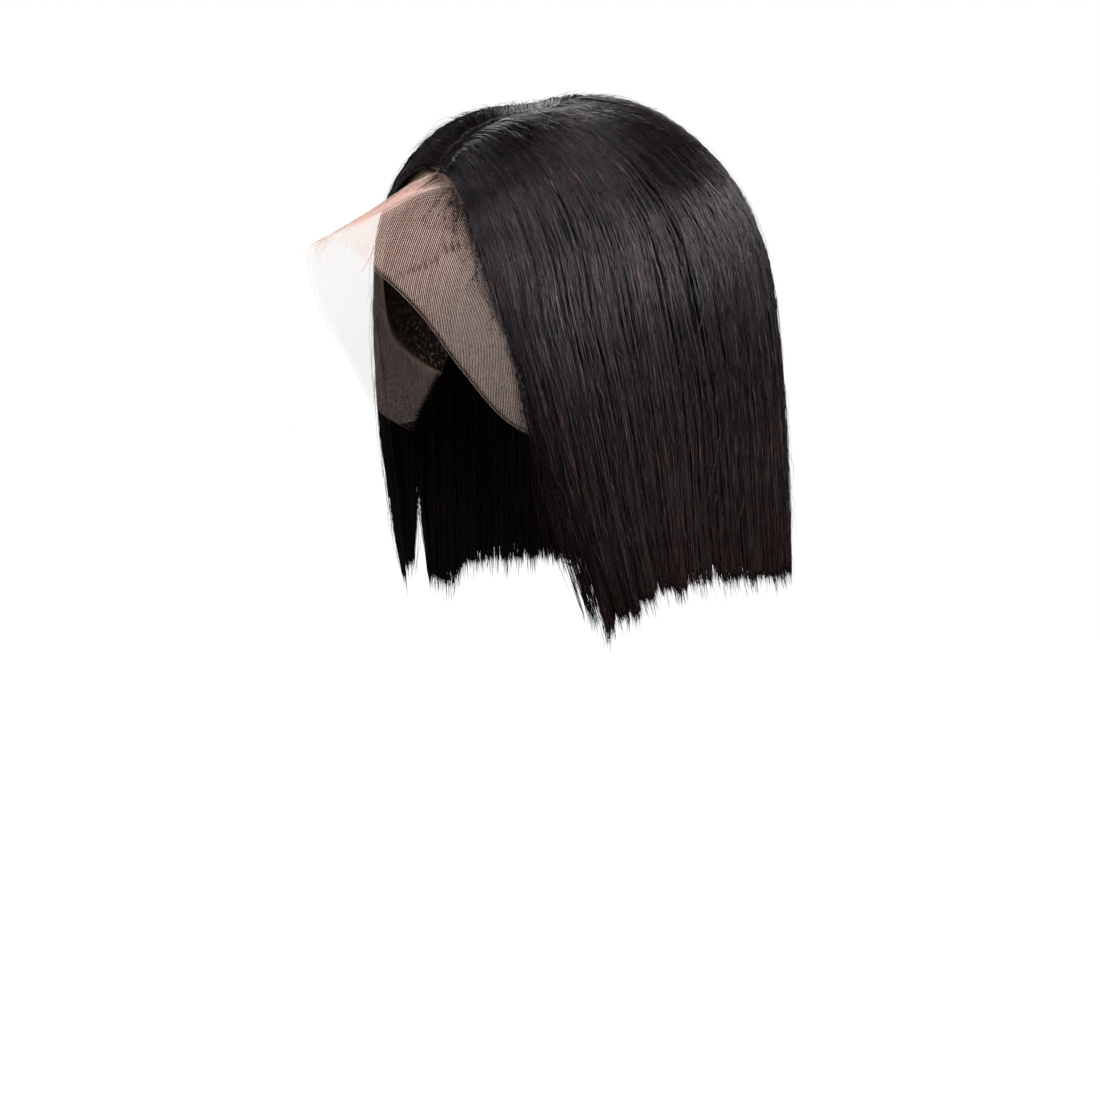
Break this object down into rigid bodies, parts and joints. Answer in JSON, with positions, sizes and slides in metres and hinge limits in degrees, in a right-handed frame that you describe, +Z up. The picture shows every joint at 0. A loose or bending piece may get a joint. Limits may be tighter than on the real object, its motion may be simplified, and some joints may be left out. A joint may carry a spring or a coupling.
{
  "type": "lace front bob wig",
  "caption": "Straight near-black bob wig with a centre part and blunt hem, on a hollow net cap that a head goes into, with untrimmed sheer tan lace in front of the hairline.",
  "frame": {"origin": "inside of the cap at the crown, where the wig sits on the head", "axes": "+Z up, -Y the way the wearer faces, +X to the wearer's left"},
  "size_m": [0.2227, 0.2966, 0.2905],
  "materials": {
    "hair": "sleek near-black hair with a satin sheen",
    "lace": "sheer tan lace net",
    "cap": "matt dark stretch net"
  },
  "bodies": {
    "root": {"cap": "cap", "lace_front": "lace", "front_lock_left": "hair", "front_lock_right": "hair", "side_hair_left": "hair", "side_hair_right": "hair", "back_hair": "hair"}
  },
  "joints": []
}
